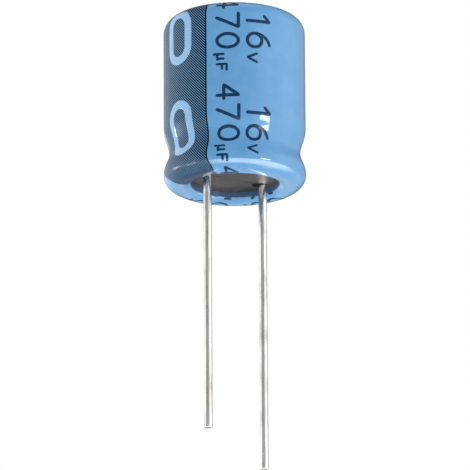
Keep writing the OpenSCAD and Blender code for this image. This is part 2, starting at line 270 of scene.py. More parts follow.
class Outline:
    """The body's outline at a depth below the film's skin, as (radius, height) from top to lip."""

    arc_steps = 20
    flank_steps = 26
    wall_steps = 20

    def __init__(self, body):
        self.body = body
        self.opening = body.radius - body.lap
        self.shoulder_centre = body.radius - body.shoulder
        self.curl_centre = body.radius - body.curl_out
        self.rise_centre = self.curl_centre - body.seat_flat
        self.lip = self.rise_centre - body.lip
        self.film_sweep = math.acos(-body.lip / body.curl_in)
        self.case_sweep = math.acos((body.film - body.lip) / (body.curl_in - body.film))
        self.run = self.distances()[-1]

    def shoulder(self, depth):
        reach = self.body.shoulder - depth
        base = self.body.height - self.body.shoulder
        return [
            (self.shoulder_centre + reach * math.cos(a), base + reach * math.sin(a))
            for a in evenly(math.pi / 2, 0.0, self.arc_steps)
        ]

    def wall_radius(self, z, depth):
        body = self.body
        run = body.groove_up if z > body.groove_z else body.groove_down
        share = min(1.0, abs(z - body.groove_z) / run)
        return body.radius - depth - body.groove_depth * (1 + math.cos(math.pi * share)) / 2

    def wall(self, depth):
        body = self.body
        flank = body.groove_z + body.groove_up
        straight = evenly(body.height - body.shoulder, flank, self.wall_steps)[1:-1]
        upper = evenly(flank, body.groove_z, self.flank_steps)[:-1]
        lower = evenly(body.groove_z, body.groove_z - body.groove_down, self.flank_steps)
        return [(self.wall_radius(z, depth), z) for z in straight + upper + lower]

    def curl(self, depth, sweep):
        line = []
        for centre, width, start, end in (
            (self.curl_centre, self.body.curl_out, 0.0, math.pi / 2),
            (self.rise_centre, self.body.curl_in, math.pi / 2, sweep),
        ):
            for a in evenly(start, end, self.arc_steps):
                line.append((centre + (width - depth) * math.cos(a), self.underside(a, depth)))
        return line

    def underside(self, a, depth):
        return self.body.curl_h - (self.body.curl_h - depth) * math.sin(a)

    def line(self, depth, sweep=None):
        """The whole line from the opening over the top to the film's lip, or to another sweep."""
        curl = self.curl(depth, self.film_sweep if sweep is None else sweep)
        start = [(self.opening, self.body.height - depth)]
        return start + self.shoulder(depth) + self.wall(depth) + curl

    def distances(self):
        """The distance run along the film's skin at each point of the line."""
        run = [0.0]
        for near, far in pairwise(self.line(0.0)):
            run.append(run[-1] + math.dist(near, far))
        return run

    def skin(self, depth):
        """The line at a depth, with each point's share of the whole run as a third value."""
        return [(r, z, v / self.run) for (r, z), v in zip(self.line(depth), self.distances())]

    def run_at_height(self, z):
        """The distance run along the skin at which the wall passes a height."""
        steps = pairwise(zip(self.line(0.0), self.distances()))
        for ((_, high), near), ((_, low), far) in steps:
            if high >= z > low:
                return near + (far - near) * (high - z) / (high - low)
        raise ValueError(f"the wall never passes the height {z}")


def add_object(name, data):
    made = bpy.data.objects.new(name, data)
    bpy.context.scene.collection.objects.link(made)
    return made


def smooth(mesh, sharp_degrees=35):
    mesh.shade_smooth()
    mesh.set_sharp_from_angle(angle=math.radians(sharp_degrees))


def turned_object(name, columns, whole=True, swerve=None):
    """A closed solid of outlines set round Z. A column is (angle, u, [(radius, height, v), ...]).

    A swerve gives the further turn of a point about Z from its angle and its v. A solid that isn't
    whole has flat ends, and the second half of each outline runs back along the first.
    """
    shell = bmesh.new()
    uv = shell.loops.layers.uv.new("UVMap")
    rings = []
    for turn, _, outline in columns:
        ring = []
        for radius, z, v in outline:
            a = turn + swerve(turn, v) if swerve else turn
            ring.append(shell.verts.new((radius * math.cos(a), radius * math.sin(a), z)))
        rings.append(ring)
    count = len(rings[0])
    steps = [(i, i + 1) for i in range(len(rings) - 1)]
    if whole:
        steps.append((len(rings) - 1, 0))
    for near, far in steps:
        u_near = columns[near][1]
        u_far = columns[far][1] if far else 1.0
        for j in range(count):
            k = (j + 1) % count
            face = shell.faces.new((rings[near][j], rings[far][j], rings[far][k], rings[near][k]))
            corners = ((u_near, j), (u_far, j), (u_far, k), (u_near, k))
            for loop, (u, row) in zip(face.loops, corners):
                loop[uv].uv = (u, columns[near][2][row][2])
    if not whole:
        for ring in (rings[0], rings[-1]):
            for j in range(count // 2 - 1):
                shell.faces.new((ring[j], ring[j + 1], ring[count - 2 - j], ring[count - 1 - j]))
    bmesh.ops.remove_doubles(shell, verts=shell.verts, dist=1e-8)
    bmesh.ops.recalc_face_normals(shell, faces=shell.faces)
    mesh = bpy.data.meshes.new(name)
    shell.to_mesh(mesh)
    shell.free()
    smooth(mesh)
    return add_object(name, mesh)


def turned_profile(name, profile, steps):
    """A closed solid of one outline of (radius, height) points, turned all round Z."""
    section = [(r, z, 0.0) for r, z in profile]
    return turned_object(name, [(a, 0.0, section) for a in evenly(0.0, 2 * math.pi, steps)[:-1]])


def evaluated_mesh(made):
    """Replaces an object's mesh by what its modifiers make of it, and removes them."""
    graph = bpy.context.evaluated_depsgraph_get()
    mesh = bpy.data.meshes.new_from_object(made.evaluated_get(graph), depsgraph=graph)
    made.modifiers.clear()
    made.data = mesh


def dress(made, look, slot, *nodes):
    """Gives a piece its material, hangs it on the body's empty, and hides the imported nodes it
    stands for.

    A piece that already has its material comes without a look.
    """
    if look:
        made.data.materials.clear()
        made.data.materials.append(look)
    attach(made, BODY)
    if nodes:
        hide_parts(*nodes)


class Signal:
    """A socket of a node tree, for use in plain expressions."""

    def __init__(self, builder, socket):
        self.builder = builder
        self.socket = socket

    def math(self, operation, *values):
        return self.builder.out("ShaderNodeMath", dict(enumerate(values)), operation=operation)

    def __add__(self, other):
        return self.math("ADD", self, other)

    def __sub__(self, other):
        return self.math("SUBTRACT", self, other)

    def __rsub__(self, other):
        return self.math("SUBTRACT", other, self)

    def __mul__(self, other):
        return self.math("MULTIPLY", self, other)

    def __truediv__(self, other):
        return self.math("DIVIDE", self, other)

    def __gt__(self, other):
        return self.math("GREATER_THAN", self, other)

    __radd__ = __add__

    def smaller(self, other):
        return self.math("MINIMUM", self, other)

    def larger(self, other):
        return self.math("MAXIMUM", self, other)

    def wave(self):
        """0 at whole numbers, 1 midway between them."""
        return self.math("PINGPONG", self, 0.5) * 2

    def rise(self, low, high):
        """0 below low, 1 above high, and smooth between."""
        return self.builder.out(
            "ShaderNodeMapRange",
            {"Value": self, "From Min": low, "From Max": high},
            interpolation_type="SMOOTHSTEP",
        )


class Builder:
    """Adds nodes to one tree."""

    def __init__(self, tree):
        self.tree = tree

    def node(self, kind, sockets=None, **settings):
        made = self.tree.nodes.new(kind)
        for name, value in settings.items():
            setattr(made, name, value)
        for name, value in (sockets or {}).items():
            if isinstance(value, Signal):
                self.tree.links.new(value.socket, made.inputs[name])
            else:
                made.inputs[name].default_value = value
        return made

    def out(self, kind, sockets=None, output=0, **settings):
        return Signal(self, self.node(kind, sockets, **settings).outputs[output])

    def split(self, vector):
        """The parts of a vector along X, Y and Z."""
        node = self.node("ShaderNodeSeparateXYZ", {0: vector})
        return [Signal(self, socket) for socket in node.outputs]

    def mix(self, share, low, high):
        """Two colours mixed. Each is a signal, a colour with alpha, or a name in the finish."""
        low, high = (paint(value) if isinstance(value, str) else value for value in (low, high))
        sockets = {0: share, 6: low, 7: high}
        return self.out("ShaderNodeMix", sockets, output=2, data_type="RGBA")

    def noise(self, size, detail=2, stretch=(1, 1, 1), roughness=0.5):
        """Soft noise from 0 to 1 whose lumps have a size in millimetres and may be stretched."""
        place = self.out("ShaderNodeTexCoord", output="Object")
        sockets = {"Vector": place, "Scale": stretch}
        place = self.out("ShaderNodeMapping", sockets, vector_type="TEXTURE")
        sockets = {"Vector": place, "Scale": 1 / (size * MM), "Detail": detail}
        return self.out("ShaderNodeTexNoise", sockets | {"Roughness": roughness})

    def bump(self, height, depth, strength):
        """A normal bumped by a height whose full step has a depth in millimetres."""
        sockets = {"Height": height, "Distance": depth * MM, "Strength": strength}
        return self.out("ShaderNodeBump", sockets)


def paint(name, level=1.0):
    """A colour of the finish, times a level, with its alpha."""
    plain = getattr(bpy.context.scene.capacitor_finish, name)
    return (*(level * channel for channel in plain), 1.0)


def material(name, look, *values):
    """A material. Its look fills a Builder and returns the shader's sockets."""
    made = bpy.data.materials.new(name)
    made.use_nodes = True
    made.node_tree.nodes.clear()
    builder = Builder(made.node_tree)
    shader = builder.node("ShaderNodeBsdfPrincipled", look(builder, *values))
    output = builder.node("ShaderNodeOutputMaterial")
    made.node_tree.links.new(shader.outputs[0], output.inputs["Surface"])
    return made


# Heights between which the film's creases begin and end, and where they begin along X
CREASES_BEGIN = (2.7 * MM, 3.5 * MM)
CREASES_END = (4.0 * MM, 5.2 * MM)
CREASES_ALONG = (-2.2 * MM, 0.8 * MM)
# Distances from the lip between which the film turns to the lip colour, a painted shade of the
# recess round the bung
PAINTED_LIP_SHADE = (0.09 * MM, 0.03 * MM)


def film_sockets(builder, base, gloss_noise):
    """The film's gloss, with shallow waves and with creases over the groove."""
    grain = builder.noise(0.12, detail=3)
    waves = builder.noise(1.6, detail=1, stretch=(1, 1, 2.5))
    x, _, z = builder.split(builder.out("ShaderNodeTexCoord", output="Object"))
    flank = z.rise(*CREASES_BEGIN) * (1 - z.rise(*CREASES_END))
    folds = builder.noise(0.6, detail=1, stretch=(9, 9, 1))
    creases = folds.rise(0.42, 0.56) * flank * x.rise(*CREASES_ALONG)
    return {
        "Base Color": base,
        "Roughness": 0.3 + gloss_noise * 0.1,
        "Specular IOR Level": 0.08,
        "Coat Weight": 1.0,
        "Coat Roughness": 0.05,
        "Coat IOR": 1.42,
        "Normal": builder.bump(waves + grain * 0.03 + creases * 0.3, 0.012, 0.6),
    }


def film_blue(builder):
    mottle = builder.noise(1.1, detail=3)
    return builder.mix(mottle.rise(0.35, 0.7), "film", "film_pale"), mottle


def film_look(builder, outline):
    blue, mottle = film_blue(builder)
    down = builder.split(builder.out("ShaderNodeUVMap"))[1] * outline.run
    # Painted shade: the film's last stretch before its lip, and its inner face, take the dark lip
    # colour
    edge = down.rise(*(outline.run - distance for distance in PAINTED_LIP_SHADE))
    return film_sockets(builder, builder.mix(edge, blue, "lip"), mottle)


def mark_look(builder):
    blue, mottle = film_blue(builder)
    return film_sockets(builder, builder.mix(mottle * 0.3, "mark", blue), mottle)


def band_look(builder, outline, printed):
    """Slanting open lines in dark ink, and plain ink under the curl."""
    body = outline.body
    width = (printed.band_to - printed.band_from) * body.radius
    low = outline.run_at_height(0.25 * body.curl_h)
    stretched = outline.run_at_height(1.5 * body.curl_h)
    u, v, _ = builder.split(builder.out("ShaderNodeUVMap"))
    across = u * width
    down = v * outline.run
    wobble = builder.noise(0.5, detail=1) * (0.06 * MM)
    lines = ((across + wobble) / printed.hatch_across - down / printed.hatch_down).wave()
    side = across.smaller(width - across)
    inside = side.rise(printed.edge, printed.edge * 1.25)
    mottle = builder.noise(1.2, detail=3)
    open_share = lines.rise(0.6, 0.82) * inside * (0.84 + mottle * 0.3)
    hatch = builder.mix(open_share, "hatch_dark", "hatch_light")
    base = builder.mix(down.rise(low, low + 0.5 * MM), hatch, "band_low")
    return film_sockets(builder, base, mottle) | {
        "Coat Weight": down.rise(stretched, stretched + 0.4 * MM) * 0.22,
        "Coat Roughness": 0.08,
        "Roughness": 0.34,
        "Specular IOR Level": 0.18,
    }


def ink_look(builder):
    mottle = builder.noise(0.3, detail=3)
    base = builder.mix(mottle.rise(0.45, 0.85) * 0.1, "ink", "film")
    return film_sockets(builder, base, mottle) | {"Coat Weight": 0.2}


def rubber_look(builder):
    cloud = builder.noise(1.4, detail=4, roughness=0.6)
    grain = builder.noise(0.08, detail=3)
    pits = builder.noise(0.3, detail=2)
    dust = (cloud * 0.7 + grain * 0.3).rise(0.42, 0.72)
    return {
        "Base Color": builder.mix(dust, "rubber", "rubber_worn"),
        "Roughness": 0.3 + dust * 0.2,
        "Specular IOR Level": 0.32,
        "Normal": builder.bump(grain * 0.4 + pits, 0.012, 0.5),
    }


def tin_look(builder):
    draw = builder.noise(0.07, detail=3, stretch=(1, 1, 40))
    patch = builder.noise(0.5, detail=3, stretch=(1, 1, 3))
    dull = (draw * 0.5 + patch * 0.5).rise(0.44, 0.7)
    return {
        "Base Color": builder.mix(dull, "tin", "tin_dull"),
        "Metallic": 1.0,
        "Roughness": 0.2 + dull * 0.16,
        "Normal": builder.bump(draw + patch, 0.008, 0.5),
    }


def aluminium_look(builder, bright, stretch, roughness):
    """Drawn or pressed aluminium, with lines along one direction."""
    lines = builder.noise(0.08, detail=4, stretch=stretch)
    stain = builder.noise(1.5, detail=3)
    dull = (lines * 0.6 + stain * 0.4).rise(0.4, 0.65)
    return {
        "Base Color": builder.mix(dull, bright, "case_dull"),
        "Metallic": 1.0,
        "Roughness": roughness + dull * 0.14,
        "Normal": builder.bump(lines, 0.006, 0.5),
    }


def etched_look(builder, base):
    """Foil etched to a fine matt sponge, with faint rolling lines along its length."""
    pores = builder.noise(0.03, detail=4, roughness=0.7)
    rolled = builder.noise(0.2, detail=2, stretch=(12, 12, 1))
    return {
        "Base Color": builder.mix(pores * 0.6 + rolled * 0.4, paint(base, 0.72), base),
        "Metallic": 0.75,
        "Roughness": 0.62 + pores * 0.2,
        "Normal": builder.bump(pores, 0.01, 0.6),
    }


def paper_look(builder):
    fibres = builder.noise(0.06, detail=4, stretch=(1, 1, 8))
    crossed = builder.noise(0.06, detail=4, stretch=(8, 8, 1))
    damp = builder.noise(2, detail=3)
    tone = (fibres * 0.35 + crossed * 0.35 + damp * 0.5).rise(0.4, 0.8)
    return {
        "Base Color": builder.mix(tone, paint("paper", 0.66), "paper"),
        "Roughness": 0.5 + damp * 0.3,
        "Normal": builder.bump(fibres.larger(crossed), 0.01, 0.7),
    }


def tape_look(builder):
    streaks = builder.noise(0.15, detail=2, stretch=(10, 10, 1))
    return {
        "Base Color": builder.mix(streaks, paint("tape", 0.8), "tape"),
        "Roughness": 0.22 + streaks * 0.15,
        "Normal": builder.bump(streaks, 0.005, 0.4),
    }


def floor_look(builder):
    speckle = builder.noise(40, detail=2)
    return {"Base Color": builder.mix(speckle, paint("floor", 0.985), "floor"), "Roughness": 0.8}


def film_outline(outline, depth):
    """The film's closed section: its skin at a depth, its lip and its inner face."""
    body = outline.body
    skin = outline.skin(depth)
    round_in = 0.3 * body.film
    skin[0] = (outline.opening, body.height - depth - round_in, 0.0)
    skin.insert(1, (outline.opening + 0.3 * round_in, body.height - depth - 0.3 * round_in, 0.0))
    skin.insert(2, (outline.opening + round_in, body.height - depth, 0.0))
    inner_lip = outline.lip + body.film
    inside = [(r, z, 1.0) for r, z in reversed(outline.line(body.film, outline.case_sweep))]
    lip = [(outline.lip, body.bung_face, 1.0), (inner_lip, body.bung_face, 1.0)]
    return skin + lip + inside


def ease(value, low, high):
    """0 below low, 1 above high, and smooth between."""
    share = min(1.0, max(0.0, (value - low) / (high - low)))
    return share * share * (3 - 2 * share)


def band_swerve(outline, printed):
    """The turn of the film about Z where it is drawn in under the curl, round the band."""
    begins = outline.run_at_height(1.1 * outline.body.curl_h) / outline.run
    done = outline.run_at_height(0.2 * outline.body.curl_h) / outline.run
    fade = math.radians(25)

    def swerve(turn, v):
        turn %= 2 * math.pi
        share = (turn - printed.band_from) / (printed.band_to - printed.band_from)
        inner = min(1.0, max(0.0, share))
        most = printed.swerve_from + (printed.swerve_to - printed.swerve_from) * inner
        near = ease(turn, printed.band_from - fade, printed.band_from)
        far = 1 - ease(turn, printed.band_to, printed.band_to + fade)
        return most * near * far * ease(v, begins, done)

    return swerve


class Piece:
    """What the operators share: each makes its piece in the scene."""

    def execute(self, context):
        self.make(context.scene)
        return {"FINISHED"}


class CAPACITOR_OT_film(Piece, bpy.types.Operator):
    """Wraps the case in its heat-shrunk film, thinned where the band is printed"""

    bl_idname = "capacitor.film"
    bl_label = "Film"

    def make(self, scene):
        outline = Outline(scene.capacitor_body)
        printed = scene.capacitor_print
        plain_steps, band_steps = 290, 70
        whole_turn = 2 * math.pi
        start = printed.band_to - whole_turn
        plain = film_outline(outline, printed.relief)
        thinned = film_outline(outline, printed.ink)
        columns = [(a, plain) for a in evenly(start, printed.band_from, plain_steps)]
        band = evenly(printed.band_from, printed.band_to, band_steps)
        columns += [(a, thinned) for a in band]
        columns = [(a, (a - start) / whole_turn, points) for a, points in columns]
        film = turned_object("film", columns, swerve=band_swerve(outline, printed))
        dress(film, material("printed_film", film_look, outline), "film_blue", "sleeve")


class CAPACITOR_OT_band(Piece, bpy.types.Operator):
    """Lays the hatched ink of the polarity band into the film"""

    bl_idname = "capacitor.band"
    bl_label = "Polarity band"

    def make(self, scene):
        outline = Outline(scene.capacitor_body)
        printed = scene.capacitor_print
        section = outline.skin(printed.relief) + outline.skin(printed.ink)[::-1]
        columns = [
            (a, (a - printed.band_from) / (printed.band_to - printed.band_from), section)
            for a in evenly(printed.band_from, printed.band_to, steps=90)
        ]
        swerve = band_swerve(outline, printed)
        band = turned_object("band", columns, whole=False, swerve=swerve)
        look = material("hatched_band", band_look, outline, printed)
        dress(band, look, "film_ink", "polarity_band")


def arc(x, y, width, height, start, end, steps):
    """Points on part of an ellipse, from one angle in degrees to another."""
    turns = [math.radians(degrees) for degrees in evenly(start, end, steps)]
    return [(x + width * math.cos(a), y + height * math.sin(a)) for a in turns]


# The pen strokes of each character, in a cell that is 1 high, each with whether it is closed.
# M stands for the micro sign.
GLYPHS = {
    "0": [(arc(0.33, 0.5, 0.33, 0.5, 0, 342, 19), True)],
    "1": [([(0.12, 0.76), (0.38, 1.0), (0.38, 0.0)], False)],
    "4": [([(0.5, 0.0), (0.5, 1.0), (0.0, 0.31), (0.66, 0.31)], False)],
    "6": [
        (arc(0.33, 0.32, 0.33, 0.32, 0, 342, 19), True),
        (arc(0.62, 0.32, 0.62, 0.68, 180, 100, 12), False),
    ],
    "7": [([(0.0, 1.0), (0.66, 1.0), (0.2, 0.0)], False)],
    "M": [
        ([(0.0, -0.32), (0.0, 0.68)], False),
        (arc(0.25, 0.25, 0.25, 0.24, 180, 350, 10) + [(0.5, 0.68)], False),
        ([(0.5, 0.25), (0.56, 0.02)], False),
    ],
    "F": [
        ([(0.0, 0.0), (0.0, 1.0), (0.62, 1.0)], False),
        ([(0.0, 0.52), (0.5, 0.52)], False),
    ],
    "V": [([(0.0, 1.0), (0.44, 0.0), (0.9, 1.0)], False)],
}
UNITS = "MFV"
# The width of a digit in its cell
GLYPH_WIDTH = 0.66


class Strokes:
    """Pen strokes in the flat plane of the print: x runs down the wall, y round it."""

    def __init__(self):
        self.points = []
        self.edges = []
        self.half_widths = []

    def add(self, points, closed, stroke):
        first = len(self.points)
        self.points += [(x, y, 0.0) for x, y in points]
        self.edges += [(first + i, first + i + 1) for i in range(len(points) - 1)]
        if closed:
            self.edges.append((first + len(points) - 1, first))
        self.half_widths += [stroke / 2] * len(points)

    def add_text(self, text, digit_height, printed):
        x = 0.0
        for character in text:
            unit = character in UNITS
            high = printed.unit_h if unit else digit_height
            wide = high if unit else printed.digit_w / GLYPH_WIDTH
            stroke = printed.unit_stroke if unit else printed.digit_stroke
            for points, closed in GLYPHS[character]:
                placed = [(x + px * wide, py * high - digit_height / 2) for px, py in points]
                self.add(placed, closed, stroke)
            x += printed.unit_step if unit else printed.digit_step

    def to_object(self, name):
        mesh = bpy.data.meshes.new(name)
        mesh.from_pydata(self.points, self.edges, [])
        widths = mesh.attributes.new("half_width", "FLOAT", "POINT")
        widths.data.foreach_set("value", self.half_widths)
        return add_object(name, mesh)


TREE_INPUTS = {
    "geometry": "Geometry",
    "outline": "Object",
    "start": "Float",
    "pitch": "Float",
    "repeats": "Int",
    "gather_from": "Float",
    "gather": "Float",
    "angle": "Float",
    "rows": "Int",
    "row_step": "Float",
    "wall_radius": "Float",
    "first_run": "Float",
    "last_run": "Float",
    "relief": "Float",
    "ink": "Material",
}
# The spacing of points along a pen stroke, and what stays clear of print at the film's two edges
PEN_STEP = 0.07 * MM
TOP_MARGIN = 0.06 * MM
LIP_MARGIN = 0.05 * MM


def print_tree():
    """Repeats flat strokes down and round the body, and wraps them on to its outline."""
    tree = bpy.data.node_groups.new("wrapped_print", "GeometryNodeTree")
    for name, kind in TREE_INPUTS.items():
        tree.interface.new_socket(name, in_out="INPUT", socket_type=f"NodeSocket{kind}")
    tree.interface.new_socket("Geometry", in_out="OUTPUT", socket_type="NodeSocketGeometry")
    builder = Builder(tree)
    group = builder.node("NodeGroupInput")

    def given(name):
        return Signal(builder, group.outputs[name])

    def geometry(kind, sockets=None, output=0, **settings):
        return builder.out("GeometryNode" + kind, sockets, output, **settings)

    def repeated(shape, count, step):
        points = geometry("MeshLine", {"Count": count, "Offset": step}, mode="OFFSET")
        copies = geometry("InstanceOnPoints", {"Points": points, "Instance": shape})
        return geometry("RealizeInstances", {0: copies})

    def vector(x, y, z):
        return builder.out("ShaderNodeCombineXYZ", {0: x, 1: y, 2: z})

    def position():
        return builder.split(geometry("InputPosition"))

    def pen_width():
        return geometry("InputNamedAttribute", {"Name": "half_width"}, data_type="FLOAT")

    curve = geometry("MeshToCurve", {0: given("geometry")})
    fine = geometry("ResampleCurve", {"Curve": curve, "Length": PEN_STEP}, mode="LENGTH")
    edges = geometry("CurveToMesh", {"Curve": fine})
    down = repeated(edges, given("repeats"), vector(given("pitch"), 0.0, 0.0))
    row_step = given("wall_radius") * given("row_step")
    round_body = repeated(down, given("rows"), vector(0.0, row_step, 0.0))
    run = position()[0] + given("start")
    gathered = (run > given("gather_from")) * given("gather")
    shift = vector(given("start") - gathered, 0.0, 0.0)
    shifted = geometry("SetPosition", {"Geometry": round_body, "Offset": shift})
    run = position()[0]
    outside = (given("first_run") > run).larger(run > given("last_run"))
    kept = geometry("DeleteGeometry", {0: shifted, "Selection": outside}, domain="POINT")
    pen_path = geometry("MeshToCurve", {0: kept})
    path = geometry("SetCurveRadius", {"Curve": pen_path, "Radius": pen_width()})
    nib = geometry("CurvePrimitiveCircle", {"Resolution": 10, "Radius": 1.0}, mode="RADIUS")
    tubes = geometry(
        "CurveToMesh",
        {"Curve": path, "Profile Curve": nib, "Scale": pen_width(), "Fill Caps": True},
    )
    ball = geometry("MeshUVSphere", {"Segments": 12, "Rings": 8, "Radius": 1.0})
    ends = geometry("CurveEndpointSelection")
    caps = geometry(
        "InstanceOnPoints",
        {"Points": path, "Selection": ends, "Instance": ball, "Scale": pen_width()},
    )
    joined = builder.node("GeometryNodeJoinGeometry")
    for shape in (geometry("RealizeInstances", {0: caps}), tubes):
        tree.links.new(shape.socket, joined.inputs[0])
    flat = Signal(builder, joined.outputs[0])

    run, across, lift = position()
    outline = geometry(
        "ObjectInfo", {0: given("outline")}, output="Geometry", transform_space="ORIGINAL"
    )
    sample = builder.node(
        "GeometryNodeSampleCurve",
        {"Curves": outline, "Length": run},
        mode="LENGTH",
        use_all_curves=True,
    )
    radius, _, height = builder.split(Signal(builder, sample.outputs["Position"]))
    tangent_out, _, tangent_up = builder.split(Signal(builder, sample.outputs["Tangent"]))
    raised = lift * given("relief")
    spot = vector(radius - tangent_up * raised, 0.0, height + tangent_out * raised)
    turn = given("angle") + across / given("wall_radius")
    wrapped = builder.out(
        "ShaderNodeVectorRotate", {"Vector": spot, "Angle": turn}, rotation_type="Z_AXIS"
    )
    placed = geometry("SetPosition", {"Geometry": flat, "Position": wrapped})
    soft = geometry("SetShadeSmooth", {0: placed})
    real = geometry("RealizeInstances", {0: soft})
    inked = geometry("SetMaterial", {"Geometry": real, "Material": given("ink")})
    output = builder.node("NodeGroupOutput")
    tree.links.new(inked.socket, output.inputs[0])
    return tree


def wrap_strokes(name, strokes, **inputs):
    """Runs the print tree on flat strokes and leaves a plain mesh."""
    scene = bpy.context.scene
    printed = scene.capacitor_print
    outline = Outline(scene.capacitor_body)
    guide_curve = bpy.data.curves.new("outline_guide", "CURVE")
    guide_curve.dimensions = "3D"
    spline = guide_curve.splines.new("POLY")
    points = outline.line(printed.relief)
    spline.points.add(len(points) - 1)
    for point, (r, z) in zip(spline.points, points):
        point.co = (r, 0.0, z, 1.0)
    guide = add_object("outline_guide", guide_curve)
    made = strokes.to_object(name)
    inputs |= {
        "outline": guide,
        "wall_radius": scene.capacitor_body.radius,
        "first_run": TOP_MARGIN,
        "last_run": outline.run - LIP_MARGIN,
        "gather_from": outline.run_at_height(printed.gather_z),
        "gather": printed.gather,
        "relief": printed.relief / max(strokes.half_widths),
    }
    modifier = made.modifiers.new("wrapped_print", "NODES")
    modifier.node_group = bpy.data.node_groups.get("wrapped_print") or print_tree()
    for item in modifier.node_group.interface.items_tree:
        if item.name in inputs:
            modifier[item.identifier] = inputs[item.name]
    evaluated_mesh(made)
    if not made.data.polygons:
        raise RuntimeError(f"{name} came out empty")
    bpy.data.objects.remove(guide)
    bpy.data.curves.remove(guide_curve)
    return made


class CAPACITOR_OT_marks(Piece, bpy.types.Operator):
    """Lays the ring-shaped polarity marks over the band, in a pale film colour"""

    bl_idname = "capacitor.marks"
    bl_label = "Polarity marks"

    def make(self, scene):
        printed = scene.capacitor_print
        outline = Outline(scene.capacitor_body)
        half_w = (printed.mark_w - printed.mark_stroke) / 2
        half_h = (printed.mark_h - printed.mark_stroke) / 2
        low_end = [(x + half_h - half_w, y) for x, y in arc(0, 0, half_w, half_w, -90, 90, 24)]
        high_end = [(-x, -y) for x, y in low_end]
        strokes = Strokes()
        strokes.add(low_end + high_end, True, printed.mark_stroke)
        marks = wrap_strokes(
            "polarity_marks",
            strokes,
            start=outline.run_at_height(printed.mark_z) - printed.mark_pitch,
            pitch=printed.mark_pitch,
            repeats=2,
            angle=printed.mark_at,
            rows=1,
            row_step=0.0,
            ink=material("film_in_marks", mark_look),
        )
        dress(marks, None, "film_blue")


class CAPACITOR_OT_rating(Piece, bpy.types.Operator):
    """Prints the plain digits of the value and the voltage in rows down the film"""

    bl_idname = "capacitor.rating"
    bl_label = "Rating digits"

    def make(self, scene):
        printed = scene.capacitor_print
        outline = Outline(scene.capacitor_body)
        ink = material("printed_ink", ink_look)
        rows = (
            ("value", printed.value_text, printed.value_h, printed.value_z, printed.value_at),
            ("volts", printed.volts_text, printed.volts_h, printed.volts_z, printed.volts_at),
        )
        sides = (
            ("front", 0.0, 0.0, 1),
            ("back", printed.back_turn, printed.back_lift, printed.back_rows),
        )
        # Each row starts two pitches up, so that its five repeats run off both ends of the film
        for name, text, high, start_z, turn in rows:
            for side, further, lift, count in sides:
                strokes = Strokes()
                strokes.add_text(text, high, printed)
                row = wrap_strokes(
                    f"{name}_{side}",
                    strokes,
                    start=outline.run_at_height(start_z) - 2 * printed.row_pitch - lift,
                    pitch=printed.row_pitch,
                    repeats=5,
                    angle=turn + further,
                    rows=count,
                    row_step=printed.back_step,
                    ink=ink,
                )
                dress(row, None, "film_ink")


def lead_axes():
    """The place of each lead's axis along X, from its mount."""
    return {name: MOUNTS[name]["pos_m"][0] for name in ("anode_lead", "cathode_lead")}


class CAPACITOR_OT_bung(Piece, bpy.types.Operator):
    """Seats the rubber bung, with a flared mouth where each lead leaves it"""

    bl_idname = "capacitor.bung"
    bl_label = "Bung"

    def make(self, scene):
        body = scene.capacitor_body
        outline = Outline(body)
        depth = body.film + body.wall
        lip = outline.lip + body.film
        side = [
            point
            for point in outline.wall(depth) + outline.curl(depth, outline.case_sweep)
            if point[1] < body.bung_top - body.bung_bevel
        ]
        profile = [(0.0, body.bung_face), (lip, body.bung_face)] + side[::-1]
        profile += [(side[0][0] - body.bung_bevel, body.bung_top), (0.0, body.bung_top)]
        bung = turned_profile("bung_rubber", profile, steps=180)
        cutters = [self.cutter(body, x) for x in lead_axes().values()]
        for cutter in cutters:
            cut = bung.modifiers.new("lead_hole", "BOOLEAN")
            cut.object = cutter
            cut.solver = "EXACT"
        evaluated_mesh(bung)
        smooth(bung.data, sharp_degrees=25)
        for cutter in cutters:
            bpy.data.objects.remove(cutter)
        dress(bung, material("moulded_rubber", rubber_look), "bung_rubber", "bung")

    def cutter(self, body, x):
        """One lead's hole: its flared mouth, and the bore round the tab's stem above it."""
        flare = 0.03 * MM
        over = 0.5 * MM
        lap = 0.01 * MM
        lead_r = MOUNTS["anode_lead"]["dims"]["r_mm"] * MM
        off = body.mouth_radius - lead_r - body.weld_swell - body.mouth_gap
        mouth = [
            (0.0, body.bung_face - over),
            (body.mouth_radius + flare, body.bung_face - over),
            (body.mouth_radius + flare, body.bung_face),
            (body.mouth_radius + 0.3 * flare, body.bung_face + 0.3 * flare),
            (body.mouth_radius, body.bung_face + flare),
            (body.mouth_radius, body.weld_z + lap),
            (0.0, body.weld_z + lap),
        ]
        bore = [
            (0.0, body.weld_z),
            (body.stem_radius, body.weld_z),
            (body.stem_radius, body.bung_top + over),
            (0.0, body.bung_top + over),
        ]
        pieces = []
        for profile, shift in ((mouth, off), (bore, 0.0)):
            piece = turned_profile("hole", profile, steps=72)
            push = Vector((math.cos(body.mouth_turn), math.sin(body.mouth_turn), 0.0)) * shift
            piece.data.transform(Matrix.Translation(Vector((x, 0.0, 0.0)) + push))
            pieces.append(piece)
        union = pieces[0].modifiers.new("bore", "BOOLEAN")
        union.operation = "UNION"
        union.object = pieces[1]
        union.solver = "EXACT"
        evaluated_mesh(pieces[0])
        bpy.data.objects.remove(pieces[1])
        return pieces[0]


